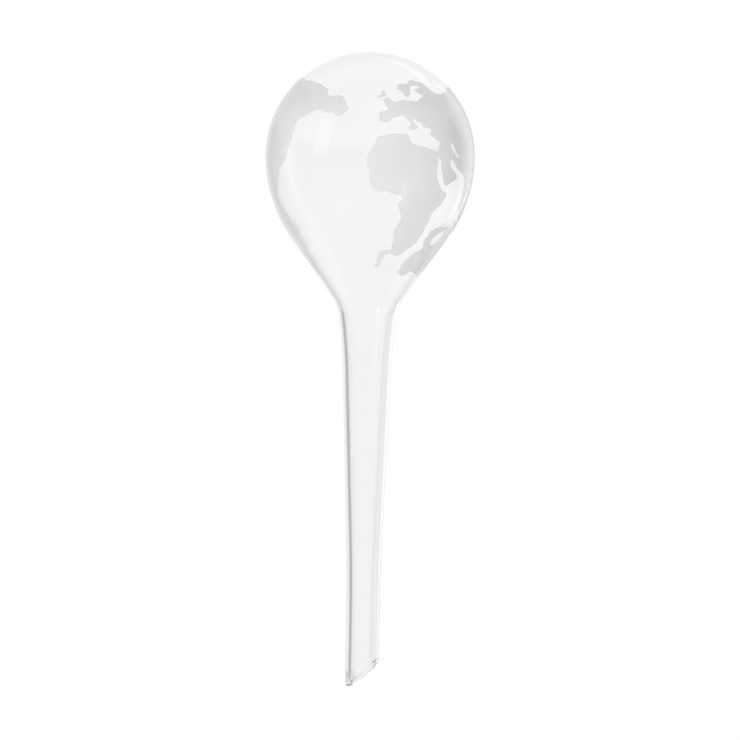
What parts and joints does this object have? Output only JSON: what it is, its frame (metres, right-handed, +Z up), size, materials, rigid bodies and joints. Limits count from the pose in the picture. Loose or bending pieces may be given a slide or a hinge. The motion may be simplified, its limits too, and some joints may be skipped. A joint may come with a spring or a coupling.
{
  "type": "watering globe",
  "caption": "Clear glass plant watering globe: hollow round bulb with a frosted world map, tapered stem and a slanted open mouth.",
  "frame": {"origin": "on the stem's axis, halfway up its straight foot", "axes": "+Z up along the axis towards the bulb, +X to the side that the mouth opens to, which is the picture's right; the picture looks along +Y"},
  "size_m": [0.0804, 0.0802, 0.243],
  "materials": {
    "glass": "clear, smooth, blown",
    "frost": "frosted white map, fired on"
  },
  "bodies": {
    "root": {"glass_body": "glass", "africa": "frost", "eurasia": "frost", "north_america": "frost", "south_america": "frost", "australia": "frost", "british_isles": "frost", "japan": "frost", "sumatra": "frost", "borneo": "frost", "new_guinea": "frost", "new_zealand": "frost"}
  },
  "joints": []
}
